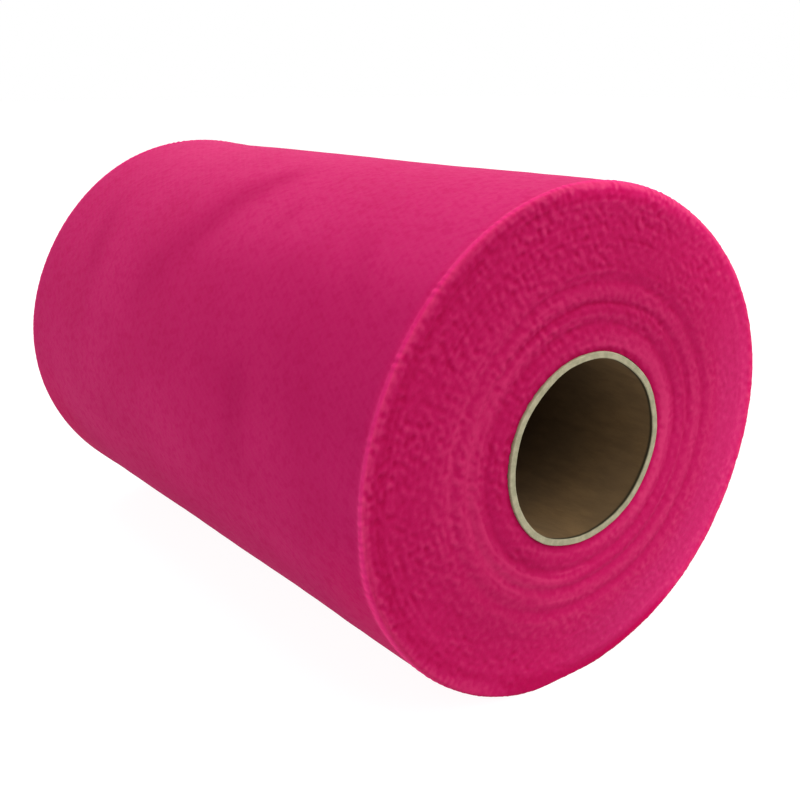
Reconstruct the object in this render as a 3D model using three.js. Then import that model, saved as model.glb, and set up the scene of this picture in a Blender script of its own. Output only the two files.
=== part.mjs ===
// Roll of tulle: a narrow strip of net wound tightly on a cardboard tube, lying on its side.
// Millimetres. X runs along the tube, +Z is up, and z = 0 is the surface that the roll lies on.
import * as THREE from "three";

// Driving sizes
const ROLL_WIDTH = 152.4; // width of the strip, so the length of the roll
const ROLL_RADIUS = 50.8; // mean radius at the +X end
const BACK_FLARE = 0.7; // how much larger the radius is at the -X end
const RIM_ROUNDING = 1.5; // radius of the soft edge around each end face
const RIM_SUNK = 0.15; // how far each rim lies inside the tube's end
const BORE_SUNK = 0.6; // the same for the first turn, where it meets the tube
const FLAT_DEPTH = 0.6; // how far the roll's own weight presses its underside flat

const CORE_OUTER_RADIUS = 19.6;
const CORE_WALL = 1.35;
const CORE_OVAL = 0.033; // share by which the tube is wider and lower than round
const CORE_SHIFT = { y: -0.15, z: -0.4 }; // from the roll's middle to the tube's
const PIECE_GAP = 0.3; // between the tube and the first turn

// The soft roll is not quite round. Each row swells the section `waves` times on the way round,
// by `share` of the radius, with the first swelling `turned` degrees up from +Y.
const SECTION_WAVES = [
  { waves: 2, share: 0.032, turned: 7 }, // pressed wide and low
  { waves: 3, share: 0.007, turned: -5 }, // a blunt corner to the right
  { waves: 4, share: 0.004, turned: 22 },
  { waves: 5, share: 0.003, turned: 27 },
  { waves: 6, share: 0.002, turned: 10 },
];

// The wound end face steps in and out where the strip ran a little to one side.
// `radius` is the mean radius of a turn, `sunk` how far its edge lies inside the tube's end.
const FACE_STEPS = [
  { radius: 20.5, sunk: 0.35 },
  { radius: 22.2, sunk: 0.15 },
  { radius: 23.6, sunk: 0.3 },
  { radius: 25.0, sunk: 0.8 },
  { radius: 26.5, sunk: 0.35 },
  { radius: 27.6, sunk: 0.15 },
  { radius: 29.0, sunk: 0.75 },
  { radius: 30.3, sunk: 0.25 },
  { radius: 31.6, sunk: 0.25 },
  { radius: 33.2, sunk: 0.75 },
  { radius: 35.2, sunk: 0.3 },
  { radius: 39.0, sunk: 0.55 },
  { radius: 44.0, sunk: 0.65 },
  { radius: 47.5, sunk: 0.45 },
];

// Lengthwise stations of the outer surface, as shares of the roll's width from its middle.
const BODY_STATIONS = [
  { along: 0.475, raised: 0.15 },
  { along: 0.44, raised: 0.0 },
  { along: 0.3, raised: -0.1 },
  { along: 0.0, raised: 0.0 },
  { along: -0.25, raised: 0.05 },
  { along: -0.4, raised: 0.0 },
  { along: -0.46, raised: 0.2 },
];

const SIDES = 96; // facets round the roll
const CORE_SIDES = 72; // facets round the tube
const ROUNDING_STEPS = 4; // facets across each soft edge
const DOWN = -Math.PI / 2;
const HALF_WIDTH = ROLL_WIDTH / 2;

// How far the section reaches at an angle, as a share of its mean radius.
// `outward` is 0 at the tube and 1 at the outermost turn.
function sectionReach(angle, outward) {
  let reach = 1 + (1 - outward) * CORE_OVAL * Math.cos(2 * angle);
  for (const { waves, share, turned } of SECTION_WAVES) {
    reach += outward * share * Math.cos(waves * (angle - THREE.MathUtils.degToRad(turned)));
  }
  return reach;
}

const CENTRE_HEIGHT = ROLL_RADIUS * sectionReach(DOWN, 1) - FLAT_DEPTH;

// Place on a turn of the given mean radius, where what would lie under the surface is pressed flat.
function turnPoint(x, radius, angle) {
  const outward = THREE.MathUtils.clamp((radius - CORE_OUTER_RADIUS) / (ROLL_RADIUS - CORE_OUTER_RADIUS), 0, 1);
  const reach = radius * sectionReach(angle, outward);
  const y = (1 - outward) * CORE_SHIFT.y + reach * Math.cos(angle);
  const z = CENTRE_HEIGHT + (1 - outward) * CORE_SHIFT.z + reach * Math.sin(angle);
  return [x, y, Math.max(z, 0)];
}

// Closed solid from a closed profile of { x, radius }, carried round the section.
function carryRound(profile, sides) {
  const positions = [];
  const triangles = [];
  for (const { x, radius } of profile) {
    for (let side = 0; side < sides; side += 1) {
      positions.push(...turnPoint(x, radius, (2 * Math.PI * side) / sides));
    }
  }
  for (let row = 0; row < profile.length; row += 1) {
    const nextRow = (row + 1) % profile.length;
    for (let side = 0; side < sides; side += 1) {
      const nextSide = (side + 1) % sides;
      const a = row * sides + side;
      const b = row * sides + nextSide;
      const c = nextRow * sides + nextSide;
      const d = nextRow * sides + side;
      triangles.push(a, c, b, a, d, c);
    }
  }
  const geometry = new THREE.BufferGeometry();
  geometry.setAttribute("position", new THREE.Float32BufferAttribute(positions, 3));
  geometry.setIndex(triangles);
  geometry.computeVertexNormals();
  return geometry;
}

// Outer radius of the roll at a place along it
function bodyRadius(x, raised) {
  return ROLL_RADIUS + (BACK_FLARE * (HALF_WIDTH - x)) / ROLL_WIDTH + raised;
}

// Soft edge of one end: from the face, over the rim, on to the outer surface
function softEdge(end) {
  const points = [];
  const middleX = end * (HALF_WIDTH - RIM_SUNK - RIM_ROUNDING);
  const rimRadius = bodyRadius(middleX, 0);
  for (let step = 0; step <= ROUNDING_STEPS; step += 1) {
    const turn = (step / ROUNDING_STEPS) * (Math.PI / 2);
    points.push({
      x: middleX + end * RIM_ROUNDING * Math.cos(turn),
      radius: rimRadius - RIM_ROUNDING + RIM_ROUNDING * Math.sin(turn),
    });
  }
  return points;
}

function tulleProfile() {
  const boreRadius = CORE_OUTER_RADIUS + PIECE_GAP;
  const face = (end) => FACE_STEPS.map(({ radius, sunk }) => ({ x: end * (HALF_WIDTH - sunk), radius }));
  const boreEnd = (end) => ({ x: end * (HALF_WIDTH - BORE_SUNK), radius: boreRadius });
  const body = BODY_STATIONS.map(({ along, raised }) => {
    const x = along * ROLL_WIDTH;
    return { x, radius: bodyRadius(x, raised) };
  });
  return [
    boreEnd(1),
    ...face(1),
    ...softEdge(1),
    ...body,
    ...softEdge(-1).reverse(),
    ...face(-1).reverse(),
    boreEnd(-1),
  ];
}

function coreProfile() {
  const boreRadius = CORE_OUTER_RADIUS - CORE_WALL;
  return [
    { x: HALF_WIDTH, radius: boreRadius },
    { x: HALF_WIDTH, radius: CORE_OUTER_RADIUS },
    { x: -HALF_WIDTH, radius: CORE_OUTER_RADIUS },
    { x: -HALF_WIDTH, radius: boreRadius },
  ];
}

function piece(name, geometry, color, roughness) {
  const material = new THREE.MeshStandardMaterial({ color, roughness, metalness: 0 });
  const mesh = new THREE.Mesh(geometry, material);
  mesh.name = name;
  return mesh;
}

const roll = new THREE.Group();
roll.add(piece("tulle_roll", carryRound(tulleProfile(), SIDES), "#cf2468", 0.8));
roll.add(piece("core_tube", carryRound(coreProfile(), CORE_SIDES), "#8d7a55", 0.9));

// The part's origin lies under the middle of its box.
const box = new THREE.Box3().setFromObject(roll);
roll.position.y = -(box.min.y + box.max.y) / 2;

export default roll;
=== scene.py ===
"""A roll of tulle: a narrow strip of soft pink net, wound on a cardboard tube and lying on its side.

Lengths are in millimetres until a mesh is made. X runs along the tube, the front end lies at +X, and +Z is
up. The net is made as a few groups of turns, one inside the other, and each group is a closed surface on a
grid: one grid direction goes round the roll, the other follows the group's profile over one end face, along
the outside and back again.
"""

import bpy
import numpy as np
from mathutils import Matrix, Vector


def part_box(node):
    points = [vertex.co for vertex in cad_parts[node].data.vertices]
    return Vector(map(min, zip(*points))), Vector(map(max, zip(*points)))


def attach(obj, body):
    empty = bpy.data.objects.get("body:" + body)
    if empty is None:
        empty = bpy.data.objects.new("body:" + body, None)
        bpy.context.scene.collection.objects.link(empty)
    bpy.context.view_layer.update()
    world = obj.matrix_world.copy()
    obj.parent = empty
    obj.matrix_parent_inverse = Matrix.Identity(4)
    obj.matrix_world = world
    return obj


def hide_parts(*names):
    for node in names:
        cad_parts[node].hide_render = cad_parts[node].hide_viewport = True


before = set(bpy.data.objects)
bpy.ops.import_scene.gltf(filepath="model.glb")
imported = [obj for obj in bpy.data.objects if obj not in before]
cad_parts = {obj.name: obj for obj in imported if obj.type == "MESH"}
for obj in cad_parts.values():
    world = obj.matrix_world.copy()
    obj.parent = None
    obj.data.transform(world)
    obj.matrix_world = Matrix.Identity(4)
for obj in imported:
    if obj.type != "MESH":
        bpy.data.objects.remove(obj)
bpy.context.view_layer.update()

# ---------------------------------------------------------------- sizes, in millimetres
ROLL_WIDTH = 152.4
HALF_WIDTH = ROLL_WIDTH / 2
ROLL_RADIUS = 50.8  # mean radius at the front end
BACK_FLARE = 0.7  # how much larger the radius is at the back end
FLAT_SOFTNESS = 0.02  # square millimetres: how softly the flat spot underneath begins
CIRCUMFERENCE = 2 * np.pi * ROLL_RADIUS
NET_CELLS = 236  # cells of the net on the way round
COLUMNS = 1000  # grid lines round each group of turns

RIM_TURNS = 46.5  # radius where the rim's group of turns begins
RIM_DEPTH = 7.0  # how far along the roll the rim's group reaches
SLEEVE_THICKNESS = 4.5  # of the outer surface between the rims
RIM_SUNK = 0.15  # how far each rim lies inside the tube's end
RIM_SLACK = 0.07  # how far the looser right side of the rim lies further in
SLACK_FROM, SLACK_OVER = 42, 9  # radius where that begins, and how much further out it is full
RIM_ROUNDING = 0.7  # least radius of the soft edge round an end face
ROUNDER_RIGHT, ROUNDER_TOP = 0.3, 0.7  # how much larger that radius is on the right and over the top
BEAD_HEIGHT = 0.22  # how far the last turns' edges stand up as a bead
BEAD_WIDTH = 0.6
BEAD_PLACE = 0.2  # how far the bead's top lies behind the rim's rounding
BEAD_FURTHER = 1.0  # how much further back it lies on the lower left

CORE_RADIUS = 19.6
CORE_WALL = 1.35
CORE_BORE = CORE_RADIUS - CORE_WALL
CORE_BEVEL = 0.22  # worn edges of the tube's cut ends
CORE_OVAL = 0.033  # share by which the tube is wider and lower than round
CORE_SHIFT = (-0.15, -0.4)  # sideways and up, from the roll's middle to the tube's middle
SEAM_LEAD = 58.0  # how far the paper's spiral seam runs along the tube in one turn
PLY_THICKNESS = 0.36  # of the paper layers in the tube's wall

SECTION_WAVES = (  # waves on the way round, share of the radius, degrees turned
    (2, 0.032, 7),
    (3, 0.007, -5),
    (4, 0.004, 22),
    (5, 0.003, 27),
    (6, 0.002, 10),
)
FACE_STEPS = (  # mean radius of a turn, how far its edge lies inside the tube's end
    (19.9, 0.6),
    (20.5, 0.35),
    (22.2, 0.15),
    (23.6, 0.3),
    (25.0, 0.8),
    (26.5, 0.35),
    (27.6, 0.15),
    (29.0, 0.75),
    (30.3, 0.25),
    (31.6, 0.25),
    (33.2, 0.75),
    (35.2, 0.3),
    (39.0, 0.55),
    (44.0, 0.65),
    (47.5, 0.45),
    (50.0, 0.15),
    (52.0, 0.15),
)
STEP_MEAN, STEP_SHARE = 0.42, 0.78  # the net's edges soften the steps towards their mean
STEP_BLUR = (-0.36, -0.18, 0, 0.18, 0.36)
# Bunched turns, which also lessen or deepen the end faces' painted shade: mean radius, first and last degree,
# half width, and how light they are, or how dark below 0
FACE_LINES = (
    (26.8, 190, 264, 0.32, 1.0),
    (30.4, 205, 245, 0.32, 0.8),
    (25.8, 246, 280, 0.32, 0.8),
    (21.4, 225, 262, 0.32, 0.5),
    (31.8, 246, 272, 0.32, 0.6),
    (27.8, 122, 165, 0.32, 0.7),
    (31.6, 98, 126, 0.32, 0.7),
    (24.2, 100, 126, 0.32, 0.5),
    (28.9, 60, 134, 0.32, -1.0),
    (40.7, 58, 90, 0.32, -0.6),
    (29.8, 0, 28, 0.32, -0.6),
    (33.3, 115, 262, 0.8, 0.75),
    (28.9, 128, 264, 0.9, 1.3),
    (32.8, 146, 206, 0.9, 0.7),
    (21.6, 120, 215, 0.7, -0.7),
    (22.9, 60, 315, 1.1, -0.7),
    (22.6, 296, 356, 0.7, 0.5),
    (22.3, -25, 66, 0.9, 1.2),
    (21.2, 36, 104, 0.5, 1.0),
    (27.7, 255, 485, 0.6, -0.85),
    (35.9, 20, 122, 0.8, -0.7),
)
BODY_BLUR = (-0.015, 0, 0.015)
BODY_STATIONS = (  # share of the width from the middle, how much the turn there stands proud
    (-0.5, 0.2),
    (-0.46, 0.2),
    (-0.4, 0.0),
    (-0.25, 0.05),
    (0.0, 0.05),
    (0.2, 0.05),
    (0.3, 0.15),
    (0.41, 0.3),
    (0.46, 0.35),
    (0.485, 0.2),
    (0.5, 0.15),
)
SLANT_FROM = 125  # the degree at which a slanted band lies at its place along X
# Grooves pressed into the roll's side, whose darkness is painted shade
PRESSED_SHADED_BANDS = (  # place along X, slant in mm per degree, half width, first and last degree, how dark
    (-1.6, -0.36, 5.0, 101, 146, 0.68),
    (-4.0, -0.42, 9.0, 108, 165, 0.5),
    (21.0, 0.0, 3.0, 115, 140, 0.4),
    (47.0, 0.64, 4.0, 120, 149, 0.4),
    (32.0, 0.0, 5.0, 156, 192, 0.5),
    (-56.0, 0.34, 4.5, 125, 163, 0.45),
    (-31.0, 0.0, 17.0, 181, 203, 0.5),
    # the two widest rows paint shade over the -Y side, deepening towards the front end
    (75.0, 0.0, 70.0, 128, 220, 0.4),
    (50.0, 0.0, 60.0, 132, 178, 0.4),
)

STREAK_LEAN = 45  # degrees up from +Y, across the streaks of the end faces
STREAK_SPREAD = 24  # how much their headings vary, in degrees
STREAK_SPACING = (1.3, 3.4)
STREAK_HEIGHT, LINE_HEIGHT = 0.031, 0.04  # of the end faces' roughness and of their bunched turns
LINE_SOFTNESS = 40  # degrees over which a bunch of turns starts and ends, for each mm of its half width
PRESSED_DEPTH = 0.10
PRESSED_ENDS = 14  # degrees over which a pressed band starts and ends
FRONT_SEED, BACK_SEED = 40, 70  # for the unevenness of the two end faces
TEETH_SEEDS, FLUFF_SEED, BODY_SEED = (5, 6), 9, 11
ANY_PHASE = (0, 6.3)

tube_low, tube_high = (np.array(corner) * 1000 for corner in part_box("core_tube"))
TUBE_MIDDLE = (tube_low + tube_high) / 2
MIDDLE_Y = TUBE_MIDDLE[1] - CORE_SHIFT[0]
MIDDLE_Z = TUBE_MIDDLE[2] - CORE_SHIFT[1]


# ---------------------------------------------------------------- soft steps and directions
def smooth(value, low, high):
    """0 below low, 1 above high, and 3t^2 - 2t^3 of the way t in between."""
    t = np.clip((value - low) / (high - low), 0, 1)
    return t * t * (3 - 2 * t)


def band(value, start, full, fading, gone):
    """0 before the start and after it is gone, and 1 from full to fading."""
    return smooth(value, start, full) * (1 - smooth(value, fading, gone))


def bell(distance, half_width):
    """1 in the middle and exp(-t^2) at a distance of t half widths."""
    return np.exp(-((distance / half_width) ** 2))


def seen_angle(angle, end):
    """The angle as it looks to someone who faces that end, so that both end faces carry the same forms."""
    return angle if end > 0 else np.pi - angle


def toward(around, degrees, low, high):
    """1 round one direction and 0 away from it: a soft step of the cosine of the angle to that direction,
    which rises from low to high."""
    return smooth(np.cos(around - np.radians(degrees)), low, high)


def blurred(table, value, shifts):
    """A table of (place, number) rows, read at a value and blurred: the mean of a few shifted readings."""
    places, numbers = np.array(table).T
    return sum(np.interp(value + shift, places, numbers) for shift in shifts) / len(shifts)


# ---------------------------------------------------------------- the form of a turn
def section_reach(angle, outward):
    """How far a turn reaches, as a share of its mean radius: the tube's oval, cos 2a, fades out and the
    roll's few cosine swellings fade in, as outward goes from 0 at the tube to 1 at the last turn."""
    reach = 1 + (1 - outward) * CORE_OVAL * np.cos(2 * angle)
    for waves, share, turned in SECTION_WAVES:
        reach = reach + outward * share * np.cos(waves * (angle - np.radians(turned)))
    return reach


def turn_place(x, radius, angle):
    """Point of a turn: middle + radius * reach(angle) in the direction of the angle. Heights run smoothly
    into 0, as (z + sqrt(z^2 + e)) / 2, where the roll's weight presses it flat."""
    outward = np.clip((radius - CORE_RADIUS) / (ROLL_RADIUS - CORE_RADIUS), 0, 1)
    reach = radius * section_reach(angle, outward)
    y = MIDDLE_Y + (1 - outward) * CORE_SHIFT[0] + reach * np.cos(angle)
    z = MIDDLE_Z + (1 - outward) * CORE_SHIFT[1] + reach * np.sin(angle)
    z = (z + np.sqrt(z * z + FLAT_SOFTNESS)) / 2
    return np.stack(np.broadcast_arrays(x, y, z), axis=-1)


def body_radius(x):
    """Mean radius of the last turn: a slight cone towards the back, and the stations' small swellings."""
    raised = blurred(BODY_STATIONS, x / ROLL_WIDTH, BODY_BLUR)
    return ROLL_RADIUS + BACK_FLARE * (HALF_WIDTH - x) / ROLL_WIDTH + raised


# ---------------------------------------------------------------- unevenness of the cloth
def plane_wave(across, up, heading, length, phase):
    """Ripples of one length that run in one direction: a cosine of the distance along the heading."""
    return np.cos(2 * np.pi * (across * np.cos(heading) + up * np.sin(heading)) / length + phase)


def scattered_waves(seed, across, up, shortest, longest, count):
    """Unevenness with no direction: sqrt(2/n) times the sum of n plane cosines, at drawn headings and phases,
    with wavelengths between the shortest and the longest."""
    draw = np.random.default_rng(seed)
    field = 0
    for _ in range(count):
        heading, phase = draw.uniform(0, 2 * np.pi, 2)
        length = shortest * (longest / shortest) ** draw.random()
        field = field + plane_wave(across, up, heading, length, phase)
    return field * np.sqrt(2 / count)


def slanted_streaks(seed, across, up, count=48):
    """Streaks 2 to 5 mm long where the cut edges all lean one way: sqrt(2/n) times the sum of n plane cosines
    at STREAK_SPACING, whose headings stay close to STREAK_LEAN."""
    draw = np.random.default_rng(seed)
    closest, widest = STREAK_SPACING
    field = 0
    for _ in range(count):
        heading = np.radians(STREAK_LEAN + draw.normal(0, STREAK_SPREAD))
        length = closest * (widest / closest) ** draw.random()
        field = field + plane_wave(across, up, heading, length, draw.uniform(0, 2 * np.pi))
    return field * np.sqrt(2 / count)


def fine_turns(seed, radius, angle):
    """Bunched turns: 8 cosines of the radius, 0.9 to 2 mm apart, whose phase wanders a few times round."""
    draw = np.random.default_rng(seed)
    field = 0
    for _ in range(8):
        spacing = draw.uniform(0.9, 2.0)
        wander = 0
        for waves in (1, 2, 3, 5):
            wander = wander + draw.uniform(0.2, 0.5) * np.cos(waves * angle + draw.uniform(*ANY_PHASE))
        field = field + np.cos(2 * np.pi * (radius + wander) / spacing + draw.uniform(*ANY_PHASE))
    return field * 0.5


# ---------------------------------------------------------------- the sides of an end face
def right_side(angle, end):
    """1 round the looser right side of an end face and 0 on the rest of it."""
    return smooth(np.cos(angle + 0.35 * end), -0.1, 0.85)


def top_side(angle, end):
    """1 over the top of an end face, a little to the right, where the last turns fold over softly."""
    return toward(seen_angle(angle, end), 56, 0.55, 0.92)


def bead_share(angle, end):
    """How much the last turns' edges stand up as a bead: most over the top and the left, none underneath."""
    return toward(seen_angle(angle, end), 145, -0.25, 0.2)


def upper_left(angle, end):
    """1 round the upper left of an end face's rim and 0 on the rest of it."""
    return toward(seen_angle(angle, end), 122, 0.55, 0.9)


def bead_painted_glow(angle, end):
    """How much painted glow the bead gets, for light that it lets through: most low on the left, and a little
    more on the upper left.
    """
    return 0.45 + 0.47 * toward(seen_angle(angle, end), 230, 0.3, 0.95) + 0.08 * upper_left(angle, end)


def bead_shape(behind, end):
    """The bead's height, 0 to 1, at a distance behind the rim's rounding: a bell curve, which lies further
    back and is wider on the lower left."""
    lower_left = toward(seen_angle(ANGLES, end), 215, 0.85, 0.99)
    return bell(behind - BEAD_PLACE - BEAD_FURTHER * lower_left, BEAD_WIDTH * (1 + lower_left))


def rim_serration(angle, end):
    """Small teeth where the last turns' cut edges stand up: a few cosines 1.3 to 2.5 mm apart round the rim,
    in groups that come and go."""
    draw = np.random.default_rng(TEETH_SEEDS[0] if end > 0 else TEETH_SEEDS[1])
    counts = (163, 137, 211, 233, 191)  # teeth on the way round
    teeth = 0
    for waves in counts:
        teeth = teeth + np.cos(waves * angle + draw.uniform(*ANY_PHASE))
    groups = 1 + 0.5 * np.cos(9 * angle + draw.uniform(*ANY_PHASE))
    groups = groups + 0.4 * np.cos(23 * angle + draw.uniform(*ANY_PHASE))
    return teeth * groups / len(counts) * (1 - 0.75 * right_side(angle, end))


def painted_light_share(radius, angle, end):
    """How much painted light an end face gets, 0 to 1: painted glow where light shines through the loosely
    packed turns, and painted brightness a little on the lower right, more towards the right rim and over the
    top."""
    around = seen_angle(angle, end)
    lower_right = toward(around, 312, 0.1, 0.9)
    right = toward(around, -8, 0.1, 0.8)
    lower_left = toward(around, 238, 0.7, 1.0)
    top = toward(around, 75, 0.5, 1.0)
    lit_share = 0.3 * lower_right + right * (0.34 * smooth(radius, 34, 45) + 0.24 * smooth(radius, 46.5, 49.5))
    lit_share = lit_share + (0.17 * lower_left + 0.1 * top) * smooth(radius, 37, 44)
    lit_share = lit_share + 0.13 * right * bell(radius - 47.1, 0.9)
    return np.maximum(lit_share, 0.8 * top_side(angle, end) * smooth(radius, 46.4, 49.4))


def painted_paleness(radius, angle, end):
    """How much paler the lower right of an end face is painted, as painted light, from half way out to just
    inside the rim. It is below 0 on the rim, which is painted a deeper pink there."""
    lower_right = toward(seen_angle(angle, end), -32, 0.3, 0.85)
    outward = band(radius, 37, 42, 48.3, 49.3)
    return lower_right * (outward - 0.8 * smooth(radius, 48.8, 49.8))


def rim_shade(radius, angle, end):
    """Painted shade in the groove inside the rim, which lies at another radius on each side of the end face,
    over the outer rim at the bottom, behind the rim's teeth, and round the tube."""
    around = seen_angle(angle, end)
    left = toward(around, 190, -0.1, 0.6)
    wide_left = toward(around, 150, -0.05, 0.45)
    below = toward(around, 274, 0.8, 0.96)
    shade = 0.32 * left * bell(radius - 47.3, 0.9)
    shade = shade + 0.38 * wide_left * band(radius, 47.6, 48.3, 49.3, 50.3)
    shade = shade + 0.85 * below * smooth(radius, 46.9, 49.1)
    shade = shade + 0.14 * right_side(angle, end) * bell(radius - 48.8, 0.7)
    shade = shade + 0.15 * top_side(angle, end) * band(radius, 46.8, 48.2, 49.2, 50.0)
    shade = shade + 0.22 * rim_serration(angle, end) * bead_share(angle, end) * smooth(radius, 48.4, 49.6)
    return shade + 0.45 * (1 - smooth(radius, 19.8, 21.6))


# ---------------------------------------------------------------- the end faces
def ring_depth(radius, angle, end):
    """How far the rings of an end face lie inside the tube's end: the table of steps, read at a radius that
    wanders about half a millimetre on the way round, and blurred over a few turns."""
    lean = -0.7 if end > 0 else 2.2
    wander = 0.15 + 0.5 * np.cos(angle - lean) + 0.18 * np.cos(3 * angle + 1.3 * end)
    wander = wander + 0.1 * np.cos(7 * angle)
    wander = wander * band(radius, 20.5, 25, 40, 48) * (0.45 + 0.95 * smooth(radius, 28.5, 33))
    stepped = blurred(FACE_STEPS, radius - wander, STEP_BLUR)
    return STEP_MEAN + STEP_SHARE * (stepped - STEP_MEAN)


def face_sunk(radius, angle, end):
    """How far the net's edge lies inside the tube's end, without its fine unevenness: the rings, and a little
    more where the last turns are slack."""
    slack = np.clip((radius - SLACK_FROM) / SLACK_OVER, 0, 1) ** 2
    return ring_depth(radius, angle, end) + RIM_SLACK * slack * right_side(angle, end)


def standing_edges(radius, angle):
    """Lighter and darker bunches of turns: each row of FACE_LINES is a bell curve across the radius that
    starts and ends softly on the way round and wanders a little."""
    degrees = np.degrees(angle)
    lines = 0
    for row, (middle, first, last, half_width, light) in enumerate(FACE_LINES):
        soft = LINE_SOFTNESS * half_width
        length = last - first
        along = band((degrees - first) % 360, 0, soft, length - soft, length)
        wander = 0.15 * np.cos(7 * angle + row) + 0.08 * np.cos(17 * angle + 2 * row)
        lines = lines + light * along * bell(radius - middle - wander, half_width)
    return lines


def face_relief(radius, angle, end):
    """Returns (height, hollow) of an end face. Height is out of the face, in millimetres: slanted streaks,
    scattered unevenness and bunched turns, calmer on the lower right and rougher near the rim. Hollow is
    painted
    shade: 0 on the crests and 1 in the deep places, where the net's own folds shade it."""
    seed = FRONT_SEED if end > 0 else BACK_SEED
    across, up = end * radius * np.cos(angle), radius * np.sin(angle)
    around = seen_angle(angle, end)
    streaks = slanted_streaks(seed, across, up)
    scattered = scattered_waves(seed + 1, across, up, 1.4, 4.0, 56)
    turns = fine_turns(seed + 2, radius, angle)
    rough = 0.75 * streaks + 0.55 * scattered + 0.3 * turns
    patches = 1 + 0.25 * scattered_waves(seed + 3, across, up, 14, 40, 10)
    calm = 0.57 + 0.62 * toward(around, 135, -0.5, 0.85)
    outward = 1 - 0.12 * smooth(radius, 24, 30) + 0.3 * smooth(radius, 34, 40)
    rough = rough * patches * calm * outward
    rough = rough - 0.05 * smooth(radius, 32, 38) * (rough**2 - 0.5)
    lines = standing_edges(radius, around)
    height = STREAK_HEIGHT * rough + LINE_HEIGHT * lines
    depth = ring_depth(radius, angle, end)
    hollow = 0.46 - 0.12 * rough + (depth - 0.45) - 0.4 * lines + rim_shade(radius, angle, end)
    return height, np.clip(hollow, 0, 1)


# ---------------------------------------------------------------- the outside
def near_rim_below(x, angle):
    """1 low on the outside near either rim, and 0 from the roll's middle up and away from the rims."""
    return smooth(np.abs(x), HALF_WIDTH - 24, HALF_WIDTH - 6) * smooth(-np.sin(angle), 0.0, 0.4)


def rosy(x, angle):
    """Where the outside is painted a deeper pink: low down near each rim, as painted shade, and on the upper
    left of its bead.
    """
    on_bead = upper_left(angle, np.mean(x)) * smooth(np.abs(x), HALF_WIDTH - 3.5, HALF_WIDTH - 2)
    return np.maximum(near_rim_below(x, angle), 0.6 * on_bead)


def pressed(x, angle):
    """1 in the middle of the darkest band and 0 away from them. The bands are shallow grooves pressed into
    the roll's side, and their darkness is painted shade: each band of the table is a bell curve across its
    width that starts and ends softly on the way round."""
    degrees = np.degrees(angle)
    total = 0
    for along, slant, half_width, first, last, dark in PRESSED_SHADED_BANDS:
        middle = along + slant * (degrees - SLANT_FROM)
        here = band(degrees, first, first + PRESSED_ENDS, last - PRESSED_ENDS, last)
        total = total + dark * here * bell(x - middle, half_width)
    return np.minimum(total, 1)


def body_relief(x, angle):
    """How far the last turn stands proud of its plain form, in millimetres: 14 slow dents with a few waves on
    the way round, 10 bands across the width from uneven winding, and the pressed bands."""
    draw = np.random.default_rng(BODY_SEED)
    dents = 0
    for _ in range(14):
        waves, length = draw.integers(1, 7), draw.uniform(28, 90)
        slope = 2 * np.pi * x / length * draw.choice((-1, 1))
        dents = dents + np.cos(waves * angle + slope + draw.uniform(*ANY_PHASE))
    bands = 0
    for _ in range(10):
        length = draw.uniform(7, 24)
        wander = draw.uniform(1, 4) * np.cos(draw.integers(1, 4) * angle + draw.uniform(*ANY_PHASE))
        here = 0.5 + 0.5 * np.cos(draw.integers(1, 4) * angle + draw.uniform(*ANY_PHASE))
        bands = bands + here * np.cos(2 * np.pi * (x + wander) / length + draw.uniform(*ANY_PHASE))
    inside = smooth(HALF_WIDTH - np.abs(x), 1, 14)
    return inside * (0.012 * dents + 0.008 * bands - PRESSED_DEPTH * pressed(x, angle))


def painted_shade_share(x, angle):
    """How much painted shade the outside gets, 0 to 1: the pressed bands, and the underside. It is lighter
    low down near the rims."""
    bands = pressed(x, angle) * (1 - smooth(np.abs(x), HALF_WIDTH - 3.5, HALF_WIDTH - 1))
    # painted shade underneath the roll
    underside = 0.8 * smooth(-np.sin(angle), 0.12, 0.55)
    return np.maximum(bands, underside) * (1 - 0.6 * near_rim_below(x, angle))


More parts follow.
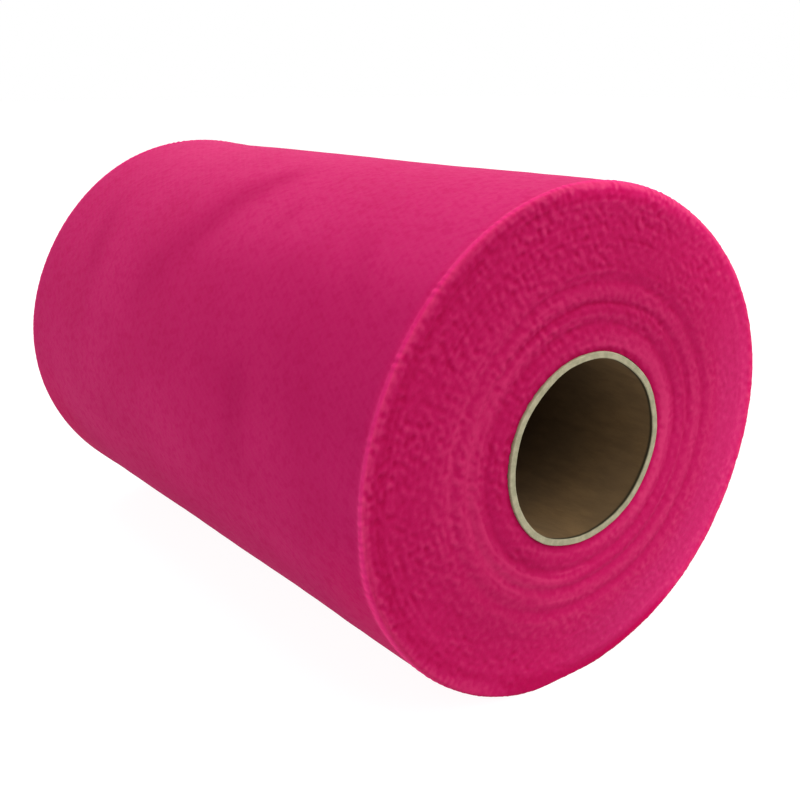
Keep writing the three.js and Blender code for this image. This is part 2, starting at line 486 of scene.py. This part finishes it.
# ---------------------------------------------------------------- grids into meshes
def ring_mesh(name, places, cloth, creases=(), **values):
    """A closed ring: rows x columns points, wrapped both ways, with faces outward for a profile that runs
    outward over the front, back along the outside and inward over the back. cloth = (way round, way along)
    of each grid line, in metres, one more of each than there are lines. creases are rows that keep a sharp
    line, and values are numbers for each point that the materials read."""
    rows, columns = places.shape[:2]
    row, column = np.meshgrid(np.arange(rows), np.arange(columns), indexing="ij")
    next_row, next_column = (row + 1) % rows, (column + 1) % columns
    corners = ((row, column), (next_row, column), (next_row, next_column), (row, next_column))
    quads = np.stack([r * columns + c for r, c in corners], axis=-1).reshape(-1, 4)
    mesh = bpy.data.meshes.new(name)
    mesh.vertices.add(rows * columns)
    mesh.vertices.foreach_set("co", (places * 0.001).astype(np.float32).ravel())
    mesh.loops.add(quads.size)
    mesh.loops.foreach_set("vertex_index", quads.astype(np.int32).ravel())
    mesh.polygons.add(len(quads))
    mesh.polygons.foreach_set("loop_start", np.arange(0, quads.size, 4, dtype=np.int32))
    mesh.polygons.foreach_set("use_smooth", np.ones(len(quads), dtype=bool))
    mesh.update(calc_edges=True)
    around, along = cloth
    layer = mesh.uv_layers.new(name="cloth")
    grid = ((row, column), (row + 1, column), (row + 1, column + 1), (row, column + 1))
    places_on_cloth = np.stack([np.stack((around[c], along[r]), -1) for r, c in grid], 2)
    layer.uv.foreach_set("vector", places_on_cloth.astype(np.float32).ravel())
    if creases:
        ends = np.empty(len(mesh.edges) * 2, dtype=np.int32)
        mesh.edges.foreach_get("vertices", ends)
        ends = ends.reshape(-1, 2) // columns
        sharp = (ends[:, 0] == ends[:, 1]) & np.isin(ends[:, 0], [r % rows for r in creases])
        mesh.attributes.new("sharp_edge", "BOOLEAN", "EDGE").data.foreach_set("value", sharp)
    for label, number in values.items():
        layer = mesh.attributes.new(label, "FLOAT", "POINT")
        layer.data.foreach_set("value", np.broadcast_to(number, (rows, columns)).astype(np.float32).ravel())
    mesh.validate()
    piece = bpy.data.objects.new(name, mesh)
    bpy.context.scene.collection.objects.link(piece)
    return piece


ANGLES = (np.arange(COLUMNS) * 2 * np.pi / COLUMNS)[None]  # one row of a grid
AROUND = np.arange(COLUMNS + 1) / COLUMNS * CIRCUMFERENCE * 0.001
OVER_RIM = HALF_WIDTH + ROLL_RADIUS  # the way along the cloth on a face is this less the radius
NOTHING = np.zeros((2, COLUMNS))  # numbers for the two rows inside the roll


def face_radii(low, high, spacing):
    """Radii of an end face's rows, about as far apart as the spacing, in one column."""
    return np.linspace(low, high, max(2, round((high - low) / spacing) + 1))[:, None]


def face_surface(radius, end):
    """Points of an end face at the given radii, and how hollow it is there."""
    height, hollow = face_relief(radius, ANGLES, end)
    x = end * (HALF_WIDTH - face_sunk(radius, ANGLES, end) + height)
    return turn_place(x, radius, ANGLES), hollow


def turn_group(name, low, high, fine, plain):
    """A group of turns: the net between two radii, as a closed sleeve. The front face has rows `fine`
    millimetres apart, the back face `plain`, and straight walls join them inside the roll."""
    front_radius, back_radius = face_radii(low, high, fine), face_radii(low, high, plain)[::-1]
    front, front_hollow = face_surface(front_radius, 1)
    back, back_hollow = face_surface(back_radius, -1)
    places = np.concatenate((front, back))
    along = np.concatenate((OVER_RIM - front_radius[:, 0], back_radius[:, 0] - OVER_RIM))
    along = np.append(along, along[0]) * 0.001
    creases = (0, len(front) - 1, len(front), len(places) - 1)
    numbers = {
        "hollow": np.concatenate((front_hollow, back_hollow)),
        "cut_edge": 1.0,
        # painted light, and a painted paler tint, on the end faces
        "painted_light": np.concatenate((painted_light_share(front_radius, ANGLES, 1), painted_light_share(back_radius, ANGLES, -1))),
        "pale": np.concatenate((painted_paleness(front_radius, ANGLES, 1), painted_paleness(back_radius, ANGLES, -1))),
    }
    return ring_mesh(name, places, (AROUND, along), creases, **numbers)


def outer_rows(x, deeper=0.0):
    """Rows of the roll's outer surface at the places x along it, which may differ round a row."""
    x = np.asarray(x, dtype=float)
    x = x[:, None] if x.ndim == 1 else x
    return turn_place(x, body_radius(x) + body_relief(x, ANGLES) - deeper, ANGLES)


def rim_group(name, end, spacing):
    """The last turns at one end, as a closed ring: the face from RIM_TURNS to the soft edge, a quarter round
    over the rim with small teeth, and the first millimetres of the outer surface. Straight walls close it
    inside the roll."""
    right = right_side(ANGLES, end)
    rounding = RIM_ROUNDING + ROUNDER_RIGHT * right + ROUNDER_TOP * top_side(ANGLES, end)
    middle = HALF_WIDTH - RIM_SUNK - RIM_SLACK * right - rounding
    rim = float(body_radius(np.array(end * HALF_WIDTH)))
    deep = HALF_WIDTH - RIM_DEPTH

    share = np.linspace(0, 1, round((rim - 1 - RIM_TURNS) / spacing))[:, None]
    radius = RIM_TURNS + share * (rim - rounding - RIM_TURNS)
    face, hollow = face_surface(radius, end)

    steps = max(7, round(2 / spacing))  # rows over the edge
    turn = (np.arange(1, steps + 1) / steps * np.pi / 2)[:, None]
    over = turn / (np.pi / 2)
    edge_radius = rim - rounding + rounding * np.sin(turn)
    edge_hollow = face_relief(edge_radius, ANGLES, end)[1] * (1 - over) ** 0.6
    join = face[-1, :, 0] * end - middle[0] - rounding[0]  # the face's own height where the rim starts
    serration, standing = rim_serration(ANGLES, end), bead_share(ANGLES, end)
    teeth = serration * (0.025 + 0.045 * standing)
    teeth = teeth + scattered_waves(FLUFF_SEED, edge_radius * ANGLES, turn * 2, 1.0, 2.4, 20) * 0.03
    teeth = teeth * np.sin(np.pi * over) ** 0.8
    bead = standing * (1 + 0.5 * serration)
    # painted glow on the bead, for light that it lets through
    painted_glow = bead * bead_painted_glow(ANGLES, end)
    proud = BEAD_HEIGHT * bead
    x = end * (middle + rounding * np.cos(turn) + join[None] * (1 - over) ** 1.5 + teeth)
    body = body_relief(end * middle, ANGLES) + body_radius(end * middle) - rim
    proud_radius = edge_radius + body * over + 0.5 * teeth + proud * bead_shape(0, end) * over**2
    edge = turn_place(x, proud_radius, ANGLES)

    down = np.linspace(0, 1, round(6 / spacing**0.5) + 1)[1:, None]
    away = middle * (1 - down) + deep * down  # from the roll's middle
    swelling = bead_shape(middle - away, end)
    outer = outer_rows(end * away, deeper=-proud * swelling)
    flat = np.zeros(outer.shape[:2])
    walls = [turn_place(end * deep, inside, ANGLES) for inside in (rim - 1.5, RIM_TURNS)]  # inside the roll
    places = np.concatenate((face, edge, outer, *walls))
    creases = (0, len(face) + len(edge) + len(outer) - 1, len(places) - 2, len(places) - 1)
    along = (OVER_RIM - radius.mean(1), OVER_RIM - edge_radius.mean(1), away[:, 0], (deep, deep, deep))
    along = np.concatenate(along)

    edge_cut = np.broadcast_to(1 - smooth(over, 0.55, 1.0), edge.shape[:2])
    # painted shade over the rim's edge
    edge_painted_shade = painted_shade_share(end * HALF_WIDTH, ANGLES) * over
    # the bead's painted glow over the edge
    edge_painted_glow = painted_glow * bead_shape(0, end) * smooth(over, 0.1, 0.8)
    edge_painted_light = np.maximum(painted_light_share(edge_radius, ANGLES, end), edge_painted_glow)
    # a painted paler tint on the face, and a deeper pink as painted shade on the outside
    edge_painted_pale = painted_paleness(edge_radius, ANGLES, end) * (1 - over) - rosy(end * middle, ANGLES) * over
    numbers = {  # on the face, over the edge, on the outside and inside the roll
        "hollow": (hollow, np.clip(edge_hollow, 0, 1), flat, NOTHING),
        "cut_edge": (np.ones(hollow.shape), edge_cut, flat, NOTHING),
        # painted light and glow, a painted paler tint with painted shade on the outside, and painted shade
        "painted_light": (painted_light_share(radius, ANGLES, end), edge_painted_light, painted_glow * swelling, NOTHING),
        "pale": (painted_paleness(radius, ANGLES, end), edge_painted_pale, -rosy(end * away, ANGLES), NOTHING),
        "pressed_dark": (np.zeros(hollow.shape), edge_painted_shade, painted_shade_share(end * away, ANGLES), NOTHING),
    }
    numbers = {label: np.concatenate(rows) for label, rows in numbers.items()}
    if end < 0:
        places, numbers = places[::-1], {label: rows[::-1] for label, rows in numbers.items()}
        along = np.append(-along[:-1][::-1], -along[0])
        creases = tuple(len(places) - 1 - c for c in creases)
    return ring_mesh(name, places, (AROUND, along * 0.001), creases, **numbers)


def barrel_group(name, spacing):
    """The outer surface between the two rims, as a closed sleeve a few millimetres thick."""
    reach = HALF_WIDTH - RIM_DEPTH
    x = np.linspace(reach, -reach, round(2 * reach / spacing) + 1)
    places = np.concatenate((outer_rows(x), outer_rows(np.array((-reach, reach)), SLEEVE_THICKNESS)))
    along = np.concatenate((x, (-reach, reach), (reach,))) * 0.001
    creases = (0, len(x) - 1, len(x), len(x) + 1)
    # painted shade of the pressed bands and the underside, and a deeper pink low near the rims, also painted
    # shade
    dark = np.concatenate((painted_shade_share(x[:, None], ANGLES), NOTHING))
    pale = -np.concatenate((rosy(x[:, None], ANGLES), NOTHING))
    return ring_mesh(name, places, (AROUND, along), creases, pressed_dark=dark, pale=pale)


def tube_profile():
    """The tube's profile as rows of (x, radius): over the front end, along the outside, over the back end and
    through the bore, with a small quarter round at each edge."""
    corner = np.linspace(0, np.pi / 2, 5)[:-1]
    wall = np.linspace(CORE_BORE + CORE_BEVEL, CORE_RADIUS - CORE_BEVEL, 9)
    flat_x, outer_corner = HALF_WIDTH - CORE_BEVEL, CORE_RADIUS - CORE_BEVEL
    rise, fall = CORE_BEVEL * np.sin(corner), CORE_BEVEL * np.cos(corner)
    front = np.concatenate((
        np.stack((flat_x + rise, CORE_BORE + CORE_BEVEL - fall), -1),
        np.stack((np.full(len(wall), HALF_WIDTH), wall), -1),
        np.stack((flat_x + fall, outer_corner + rise), -1)[1:],
    ))
    outside = np.linspace(HALF_WIDTH - 1, 1 - HALF_WIDTH, 24)
    outside = np.stack((outside, np.full(len(outside), CORE_RADIUS)), -1)
    near_end = HALF_WIDTH - np.array((0.6, 0.38))
    inside = np.concatenate((-near_end[::-1], np.linspace(1 - HALF_WIDTH, HALF_WIDTH - 1, 144), near_end))
    inside = np.stack((inside, np.full(len(inside), CORE_BORE)), -1)
    return np.concatenate((front, outside, front[::-1] * (-1, 1), inside))


def cardboard_tube(name):
    """The tube: its inside, a cut end, the outside and the other end, as one closed ring. The ends are a
    little dented: the radius and the length there carry a few small cosines that fade within 12 mm. The
    inside has a shallow groove where the paper's turns meet, along x = lead * angle."""
    columns = 480
    angle = (np.arange(columns) * 2 * np.pi / columns)[None]
    profile = tube_profile()
    x, radius = profile[:, :1], profile[:, 1:]
    from_middle, side = np.abs(x), np.sign(x)

    near = smooth(from_middle, HALF_WIDTH - 12, HALF_WIDTH)
    dents = 0.12 * np.cos(3 * angle + 0.8 * side) + 0.07 * np.cos(5 * angle - 1.1)
    dents = dents + 0.05 * np.cos(9 * angle + side)
    uneven = 0.05 * np.cos(4 * angle + 2 * side) + 0.03 * np.cos(11 * angle)
    uneven = uneven + 0.02 * np.cos(31 * angle + side)
    layers = 0.03 * np.cos(2 * np.pi * (radius - CORE_BORE) / PLY_THICKNESS)
    layers = layers * smooth(radius, CORE_BORE + 0.2, CORE_BORE + 0.5)
    layers = layers * (1 - smooth(radius, CORE_RADIUS - 0.5, CORE_RADIUS - 0.2))
    layers = layers * (from_middle > HALF_WIDTH - 0.05)
    within = 1 - smooth(radius, CORE_BORE + 0.02, CORE_BORE + 0.3)
    within = within * (1 - smooth(from_middle, HALF_WIDTH - 1.5, HALF_WIDTH - 0.5))
    phase = (x / SEAM_LEAD - angle / (2 * np.pi) + 0.37) % 1.0
    from_seam = np.minimum(phase, 1 - phase) * SEAM_LEAD
    at_end = (from_middle > HALF_WIDTH - 0.6) * side
    uneven_x = x + at_end * (np.minimum(uneven, 0.0) + layers)
    places = turn_place(uneven_x, np.minimum(radius, CORE_RADIUS), angle)
    shift = near * np.minimum(dents, 0.2) + 0.14 * within * bell(from_seam, 0.9)
    places[..., 1] += shift * np.cos(angle)
    places[..., 2] += shift * np.sin(angle)

    along = np.concatenate((np.cumsum(np.append(0, np.hypot(*np.diff(profile, axis=0).T))), (0,))) * 0.001
    around = np.arange(columns + 1) / columns * 2 * np.pi * CORE_BORE * 0.001
    through_wall = smooth(radius, CORE_BORE, CORE_RADIUS)
    cut_end = np.maximum(
        smooth(from_middle, HALF_WIDTH - 0.3, HALF_WIDTH - 0.05),
        through_wall * smooth(from_middle, HALF_WIDTH - 0.7, HALF_WIDTH - 0.15),
    )
    inside_wall = 1 - smooth(radius, CORE_BORE + 0.05, CORE_BORE + 0.25)
    numbers = {
        "cut_end": cut_end,
        "through_wall": through_wall,
        "paper_seam": within * bell(from_seam, 1.1),
        "lip_line": inside_wall * smooth(from_middle, HALF_WIDTH - 1.05, HALF_WIDTH - 0.55),
        # painted shade, deepening further into the bore
        "bore_shade": inside_wall * (1 - smooth(from_middle, HALF_WIDTH - 44, HALF_WIDTH - 4)),
    }
    return ring_mesh(name, places, (around, along), **numbers)


# ---------------------------------------------------------------- materials
class Nodes:
    """Short forms for the node links of one material."""

    def __init__(self, name):
        self.material = bpy.data.materials.new(name)
        self.material.use_nodes = True
        self.tree = self.material.node_tree
        self.tree.nodes.clear()
        self.output = self.tree.nodes.new("ShaderNodeOutputMaterial")
        self.shader = self.tree.nodes.new("ShaderNodeBsdfPrincipled")
        self.tree.links.new(self.shader.outputs[0], self.output.inputs[0])

    def node(self, kind, **settings):
        node = self.tree.nodes.new(kind)
        for key, value in settings.items():
            setattr(node, key, value)
        return node

    def feed(self, socket, value):
        if isinstance(value, bpy.types.NodeSocket):
            self.tree.links.new(value, socket)
        elif value is not None:
            socket.default_value = value

    def math(self, operation, first, second=None, third=None, clamp=False):
        node = self.node("ShaderNodeMath", operation=operation, use_clamp=clamp)
        for socket, value in zip(node.inputs, (first, second, third)):
            self.feed(socket, value)
        return node.outputs[0]

    def attribute(self, name):
        return self.node("ShaderNodeAttribute", attribute_name=name).outputs["Fac"]

    def noise(self, scale, detail=3.0, roughness=0.5, stretch=(1, 1, 1)):
        place = self.node("ShaderNodeTexCoord").outputs["Object"]
        mapping = self.node("ShaderNodeMapping")
        self.feed(mapping.inputs["Vector"], place)
        mapping.inputs["Scale"].default_value = stretch
        node = self.node("ShaderNodeTexNoise")
        self.feed(node.inputs["Vector"], mapping.outputs[0])
        node.inputs["Scale"].default_value = scale
        node.inputs["Detail"].default_value = detail
        node.inputs["Roughness"].default_value = roughness
        return node.outputs["Fac"]

    def ranged(self, value, from_low, from_high, to_low, to_high, kind="SMOOTHSTEP"):
        node = self.node("ShaderNodeMapRange", interpolation_type=kind)
        for socket, number in zip(node.inputs, (value, from_low, from_high, to_low, to_high)):
            self.feed(socket, number)
        return node.outputs[0]

    def mixed(self, share, first, second, blend="MIX"):
        node = self.node("ShaderNodeMix", data_type="RGBA", blend_type=blend)
        self.feed(node.inputs[0], share)
        self.feed(node.inputs[6], first)
        self.feed(node.inputs[7], second)
        return node.outputs[2]

    def bump(self, height, distance, under=None, strength=1.0):
        node = self.node("ShaderNodeBump")
        node.inputs["Strength"].default_value = strength
        node.inputs["Distance"].default_value = distance
        self.feed(node.inputs["Height"], height)
        self.feed(node.inputs["Normal"], under)
        return node.outputs[0]


def net_threads(nodes, shift_around, shift_along):
    """1 on the threads of a six-sided net and 0 in its holes. The sum of three cosines, at 60 degrees to each
    other, peaks in every hole and is lowest along the threads."""
    cell = CIRCUMFERENCE / NET_CELLS * 0.001
    pitch = 4 * np.pi / (np.sqrt(3) * cell)
    cloth = nodes.node("ShaderNodeUVMap", uv_map="cloth").outputs[0]
    split = nodes.node("ShaderNodeSeparateXYZ")
    nodes.feed(split.inputs[0], cloth)
    around = nodes.math("MULTIPLY_ADD", split.outputs[0], pitch * np.sqrt(3) / 2, shift_around)
    along = nodes.math("MULTIPLY_ADD", split.outputs[1], pitch / 2, shift_along)
    first = nodes.math("COSINE", nodes.math("MULTIPLY", along, 2.0))
    second = nodes.math("COSINE", nodes.math("ADD", around, along))
    third = nodes.math("COSINE", nodes.math("SUBTRACT", around, along))
    total = nodes.math("ADD", nodes.math("ADD", first, second), third)
    return nodes.ranged(total, -1.1, 0.6, 1.0, 0.0)


TULLE = (0.394, 0.0084, 0.0905, 1)
TULLE_LIGHT = (0.462, 0.0190, 0.116, 1)
TULLE_DEEP = (0.340, 0.0040, 0.059, 1)
# The end faces' colour with a lighter and a darker copy: painted light on the crests and painted shade in the
# hollows, mixed with a random tone.
EDGES = (0.310, 0.0035, 0.0575, 1)
EDGES_LIGHT = (0.372, 0.0135, 0.0790, 1)
EDGES_DEEP = (0.262, 0.0005, 0.0395, 1)
# painted light: how much brighter the net is painted where light falls on it and shines through it
PAINTED_LIGHT_GAIN = (1.62, 2.8, 1.8, 1)
# painted shade: how much darker the pressed bands and the underside are painted
PAINTED_SHADE_GAIN = (0.86, 0.74, 0.81, 1)
# painted light: a whiter tint added on the lower right of the end faces; taken away, it paints the deeper
# pink of painted shade low near the rims
PAINTED_PALE_MORE = (0.0, 0.0054, 0.0125)
KRAFT_DARK, KRAFT_LIGHT = (0.112, 0.066, 0.0275, 1), (0.150, 0.090, 0.038, 1)
KRAFT_BLOTCH = (0.088, 0.056, 0.028, 1)
SEAM_DARK = (0.05, 0.034, 0.02, 1)
LIP_DARK = (0.012, 0.013, 0.006, 1)
# painted shade for the kraft paper further into the bore
BORE_SHADE_GAIN = (0.42, 0.365, 0.355, 1)
BOARD_DARK, BOARD_LIGHT = (0.228, 0.213, 0.136, 1), (0.320, 0.290, 0.194, 1)
PLY_DARK = (0.19, 0.175, 0.10, 1)


def pink_tulle():
    """Layers of fine net: the threads of the last turn over those of the turn below, cloudy where the layers
    fall in and out of step. On the cut edges it is deeper in the hollows and lighter on the crests, which is
    painted shade and painted light. Painted light, a painted paler tint and painted shade from the pieces'
    numbers go into its colour as well."""
    nodes = Nodes("pink_tulle")
    cut = nodes.attribute("cut_edge")
    hollow = nodes.attribute("hollow")
    top = net_threads(nodes, 0.0, 0.0)
    under = net_threads(nodes, 2.1, 1.3)
    clouds = nodes.noise(38.0, 4.0, 0.55)
    specks = nodes.noise(620.0, 2.0, 0.6)
    weave = nodes.math("ADD", nodes.math("MULTIPLY", top, 0.6), nodes.math("MULTIPLY", under, 0.4))
    cloudy = nodes.ranged(clouds, 0.3, 0.7, -0.06, 0.06)
    tone = nodes.math("ADD", cloudy, nodes.ranged(specks, 0.32, 0.5, -0.07, 0.018))
    tone = nodes.math("ADD", tone, nodes.ranged(weave, 0.1, 0.8, -0.025, 0.025))
    face_tone = nodes.ranged(nodes.noise(800.0, 3.0, 0.6), 0.3, 0.7, 0.12, -0.12)
    depth = nodes.math("ADD", hollow, face_tone, clamp=True)
    # painted shade in the hollows and painted light on the crests of the end faces, mixed with a random tone
    edges = nodes.mixed(nodes.ranged(depth, 0.0, 0.5, 0.0, 1.0, "LINEAR"), EDGES_LIGHT, EDGES)
    edges = nodes.mixed(nodes.ranged(depth, 0.5, 1.0, 0.0, 1.0, "LINEAR"), edges, EDGES_DEEP)
    lighter = nodes.mixed(nodes.ranged(tone, 0.0, 0.3, 0.0, 1.0, "LINEAR"), TULLE, TULLE_LIGHT)
    cloth = nodes.mixed(nodes.ranged(tone, -0.3, 0.0, 1.0, 0.0, "LINEAR"), lighter, TULLE_DEEP)
    colour = nodes.mixed(cut, cloth, edges)
    # painted light: brighter where light falls on the end faces and shines through them
    colour = nodes.mixed(nodes.attribute("painted_light"), colour, PAINTED_LIGHT_GAIN, "MULTIPLY")
    # a painted paler tint: painted light on the lower right of the end faces, and a deeper pink as painted
    # shade low near the rims
    paler = nodes.node("ShaderNodeVectorMath", operation="MULTIPLY_ADD")
    for socket, value in zip(paler.inputs, (nodes.attribute("pale"), PAINTED_PALE_MORE, colour)):
        nodes.feed(socket, value)
    # painted shade: the pressed bands and the underside
    colour = nodes.mixed(nodes.attribute("pressed_dark"), paler.outputs[0], PAINTED_SHADE_GAIN, "MULTIPLY")
    nodes.feed(nodes.shader.inputs["Base Color"], colour)
    height = nodes.math("MULTIPLY", nodes.math("SUBTRACT", 1.0, cut), weave)
    woven = nodes.bump(height, 0.00004, strength=0.35)
    fluff = nodes.bump(nodes.noise(1100.0, 4.0, 0.6), 0.00025, woven, strength=0.3)
    nodes.feed(nodes.shader.inputs["Normal"], fluff)
    matt = nodes.math("MULTIPLY", nodes.attribute("pressed_dark"), 0.2)
    roughness = nodes.math("ADD", nodes.ranged(specks, 0.3, 0.7, 0.81, 0.69), matt)
    nodes.feed(nodes.shader.inputs["Roughness"], roughness)
    nodes.shader.inputs["Specular IOR Level"].default_value = 0.04
    return nodes.material


def grey_board():
    """Cardboard: a pale, layered cut end, brown kraft paper inside, with fibres along the paper's turns, and
    painted shade that deepens further into the bore.
    """
    nodes = Nodes("grey_board")
    cut = nodes.attribute("cut_end")
    through = nodes.attribute("through_wall")
    seam = nodes.attribute("paper_seam")
    fibres = nodes.noise(420.0, 5.0, 0.65, (0.35, 1, 1))
    blotches = nodes.noise(60.0, 3.0, 0.5)
    kraft = nodes.mixed(nodes.ranged(fibres, 0.3, 0.7, 0.0, 1.0), KRAFT_DARK, KRAFT_LIGHT)
    kraft = nodes.mixed(nodes.ranged(blotches, 0.35, 0.65, 0.0, 0.45), kraft, KRAFT_BLOTCH)
    kraft = nodes.mixed(nodes.math("MULTIPLY", seam, 0.4), kraft, SEAM_DARK)
    kraft = nodes.mixed(nodes.math("MULTIPLY", nodes.attribute("lip_line"), 0.85), kraft, LIP_DARK)
    # painted shade: darker further into the bore
    kraft = nodes.mixed(nodes.attribute("bore_shade"), kraft, BORE_SHADE_GAIN, "MULTIPLY")
    layers = nodes.math("SINE", nodes.math("MULTIPLY", through, 31.0))
    grain = nodes.ranged(nodes.noise(700.0, 4.0, 0.6), 0.3, 0.7, 0.0, 1.0)
    pale = nodes.mixed(grain, BOARD_DARK, BOARD_LIGHT)
    pale = nodes.mixed(nodes.ranged(layers, -1.0, 1.0, 0.0, 0.25), pale, PLY_DARK)
    nodes.feed(nodes.shader.inputs["Base Color"], nodes.mixed(cut, kraft, pale))
    paper = nodes.bump(fibres, 0.0002, strength=0.35)
    nodes.feed(nodes.shader.inputs["Normal"], paper)
    nodes.shader.inputs["Roughness"].default_value = 0.85
    nodes.shader.inputs["Specular IOR Level"].default_value = 0.15
    return nodes.material


def studio_floor():
    """Plain white floor that is lit from within, a little more away from the roll: the dimmer glow near the
    roll is a painted soft shadow.
    """
    nodes = Nodes("studio_floor")
    nodes.shader.inputs["Base Color"].default_value = (0.14, 0.14, 0.14, 1)
    place = nodes.node("ShaderNodeTexCoord").outputs["Object"]
    away = nodes.node("ShaderNodeVectorMath", operation="LENGTH")
    nodes.feed(away.inputs[0], place)
    nodes.shader.inputs["Emission Color"].default_value = (1, 1, 1, 1)
    # painted soft shadow: the glow is dimmer near the roll
    brightness = nodes.ranged(away.outputs["Value"], 0.1, 0.45, 0.93, 0.985)
    nodes.feed(nodes.shader.inputs["Emission Strength"], brightness)
    nodes.feed(nodes.shader.inputs["Roughness"], nodes.ranged(nodes.noise(3.0), 0.3, 0.7, 0.9, 1.0))
    nodes.shader.inputs["Specular IOR Level"].default_value = 0.0
    return nodes.material


# ---------------------------------------------------------------- the roll
tulle = pink_tulle()
board = grey_board()

turns = [
    turn_group("inner_turns", CORE_RADIUS + 0.03, 29.0, 0.2, 0.45),
    turn_group("middle_turns", 29.0, 38.0, 0.22, 0.5),
    turn_group("outer_turns", 38.0, RIM_TURNS, 0.25, 0.55),
    rim_group("front_rim", 1, 0.22),
    rim_group("back_rim", -1, 0.35),
    barrel_group("last_turn", 1.6),
]
for piece in turns:
    piece.data.materials.append(tulle)
    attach(piece, "root")
    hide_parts("tulle_roll")

tube = cardboard_tube("cardboard_tube")
tube.data.materials.append(board)
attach(tube, "root")
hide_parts("core_tube")


# ---------------------------------------------------------------- the room
def flat_square(name, half, height):
    """A square of four corners at one height, facing up."""
    mesh = bpy.data.meshes.new(name)
    corners = [(half * x, half * y, height) for x, y in ((-1, -1), (1, -1), (1, 1), (-1, 1))]
    mesh.from_pydata(corners, [], [(0, 1, 2, 3)])
    piece = bpy.data.objects.new(name, mesh)
    bpy.context.scene.collection.objects.link(piece)
    return piece


floor = flat_square("floor", 6.0, 0.0)
floor.data.materials.append(studio_floor())


def aimed(thing, place, at):
    """Puts a lamp or camera at a place, looking at a point."""
    away = np.array(place) - np.array(at)
    level = np.hypot(away[0], away[1])
    thing.location = place
    thing.rotation_euler = (np.arctan2(level, away[2]), 0.0, np.arctan2(away[0], -away[1]))
    bpy.context.scene.collection.objects.link(thing)


ROLL_MIDDLE = (0.0, 0.0, 0.05)  # in metres, as the rest of the room
LAMP_DISTANCE, LAMP_SIDE = 1.2, 1.0


def soft_lamp(name, heading, height, power):
    """A square soft lamp, aimed at the roll's middle. heading is degrees round from +X towards +Y."""
    lamp = bpy.data.lights.new(name, "AREA")
    lamp.shape = "SQUARE"
    lamp.size = LAMP_SIDE
    lamp.energy = power
    heading, height = np.radians(heading), np.radians(height)
    outward = np.array((np.cos(height) * np.cos(heading), np.cos(height) * np.sin(heading), np.sin(height)))
    place = tuple(np.array(ROLL_MIDDLE) + LAMP_DISTANCE * outward)
    aimed(bpy.data.objects.new(name, lamp), place, ROLL_MIDDLE)


LAMPS = (  # name, degrees round from +X, degrees up, watts
    ("key_lamp", 90, 50, 11.0),
    ("front_lamp", 10, 50, 13.0),
    ("back_lamp", 180, 55, 7.0),
    ("side_lamp", 140, 40, 1.3),
    ("left_lamp", -135, 30, 3.0),
)
for name, around, up, watts in LAMPS:
    soft_lamp(name, around, up, watts)

SKY_DIMMING = (0.45, 0.8, 1.0, 0.1)  # from and to which height it dims, and its strength before and after
world = bpy.data.worlds.new("white_room")
world.use_nodes = True
room = world.node_tree
heading = room.nodes.new("ShaderNodeTexCoord")
upward = room.nodes.new("ShaderNodeSeparateXYZ")
dimmer = room.nodes.new("ShaderNodeMapRange")
dimmer.interpolation_type = "SMOOTHSTEP"
for socket, number in zip(dimmer.inputs[1:5], SKY_DIMMING):
    socket.default_value = number
room.links.new(heading.outputs["Generated"], upward.inputs[0])
room.links.new(upward.outputs[2], dimmer.inputs[0])
room.links.new(dimmer.outputs[0], room.nodes["Background"].inputs["Strength"])
room.nodes["Background"].inputs["Color"].default_value = (1, 1, 1, 1)
bpy.context.scene.world = world
bpy.context.scene.view_settings.view_transform = "Standard"

VIEW_HEADING, VIEW_HEIGHT, VIEW_DISTANCE = np.radians(52.24), np.radians(17.25), 0.2600
LOOKED_AT = np.array((0.00263, 0.01158, 0.03766))
lens = bpy.data.cameras.new("camera")
lens.sensor_width = 36.0
lens.lens = 46.2
lens.clip_start = 0.01
camera = bpy.data.objects.new("camera", lens)
back = np.array((
    np.sin(VIEW_HEADING) * np.cos(VIEW_HEIGHT),
    -np.cos(VIEW_HEADING) * np.cos(VIEW_HEIGHT),
    np.sin(VIEW_HEIGHT),
))
aimed(camera, tuple(LOOKED_AT + VIEW_DISTANCE * back), tuple(LOOKED_AT))
bpy.context.scene.camera = camera
